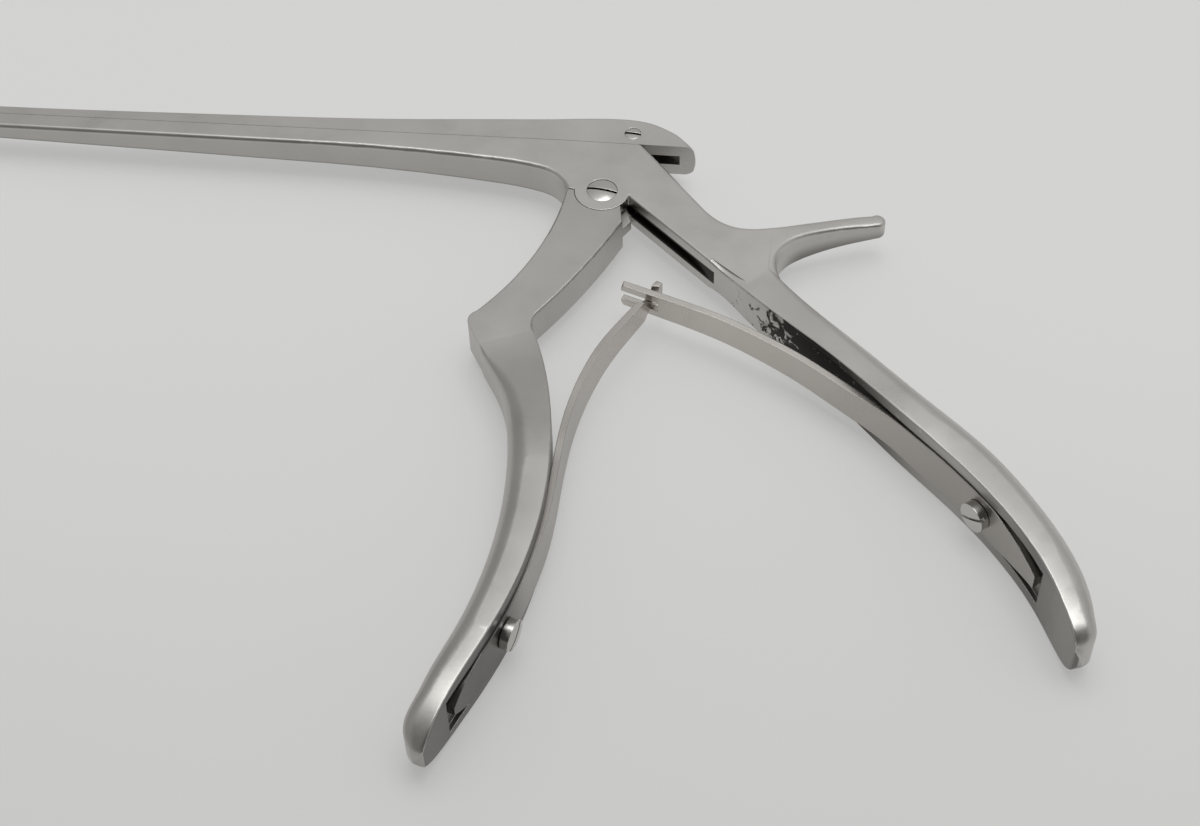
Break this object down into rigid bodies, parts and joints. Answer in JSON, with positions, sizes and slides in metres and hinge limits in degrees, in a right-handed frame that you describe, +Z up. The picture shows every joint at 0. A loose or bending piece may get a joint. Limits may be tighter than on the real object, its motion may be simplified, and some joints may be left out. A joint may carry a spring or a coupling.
{
  "type": "bone rongeur",
  "caption": "Long slender bone punch with a sliding upper shaft, a cupped cutting jaw over a slanted footplate, a thumb spur and a spring-opened trigger handle, lying on its side.",
  "frame": {"origin": "middle of the underside of the whole object, lying on its side on the grips' flats with the jaw open", "axes": "-X along the shaft to the jaw, +X to the thumb spur and rear handle, -Y to the ends of the handles, +Z up out of the side it lies on"},
  "size_m": [0.2919, 0.136, 0.013],
  "materials": {
    "forging": "satin",
    "screw": "satin",
    "spring": "polished"
  },
  "bodies": {
    "frame": {"frame": "forging", "pivot_screw": "screw", "rear_spring": "spring", "rear_spring_screw": "screw"},
    "front_handle": {"front_handle": "forging", "front_spring": "spring", "front_spring_screw": "screw"},
    "slide": {"slide": "forging", "drive_screw": "screw"}
  },
  "joints": [
    {"name": "handle_pivot", "type": "hinge", "parent": "frame", "child": "front_handle", "pos_m": [0.06138, 0.0492, 0.0065], "axis": [0, 0, 1], "range_deg": [0, 30], "stiffness_Nm_per_rad": 1, "springref_deg": -11.46, "deforming": ["rear_spring", "front_spring"]},
    {"name": "slide_travel", "type": "slide", "parent": "frame", "child": "slide", "axis": [-1, 0, 0], "range_m": [0, 0.00804]}
  ],
  "couplings": [
    {"joint": "slide_travel", "follows": "handle_pivot", "m_per_rad": 0.015353}
  ]
}
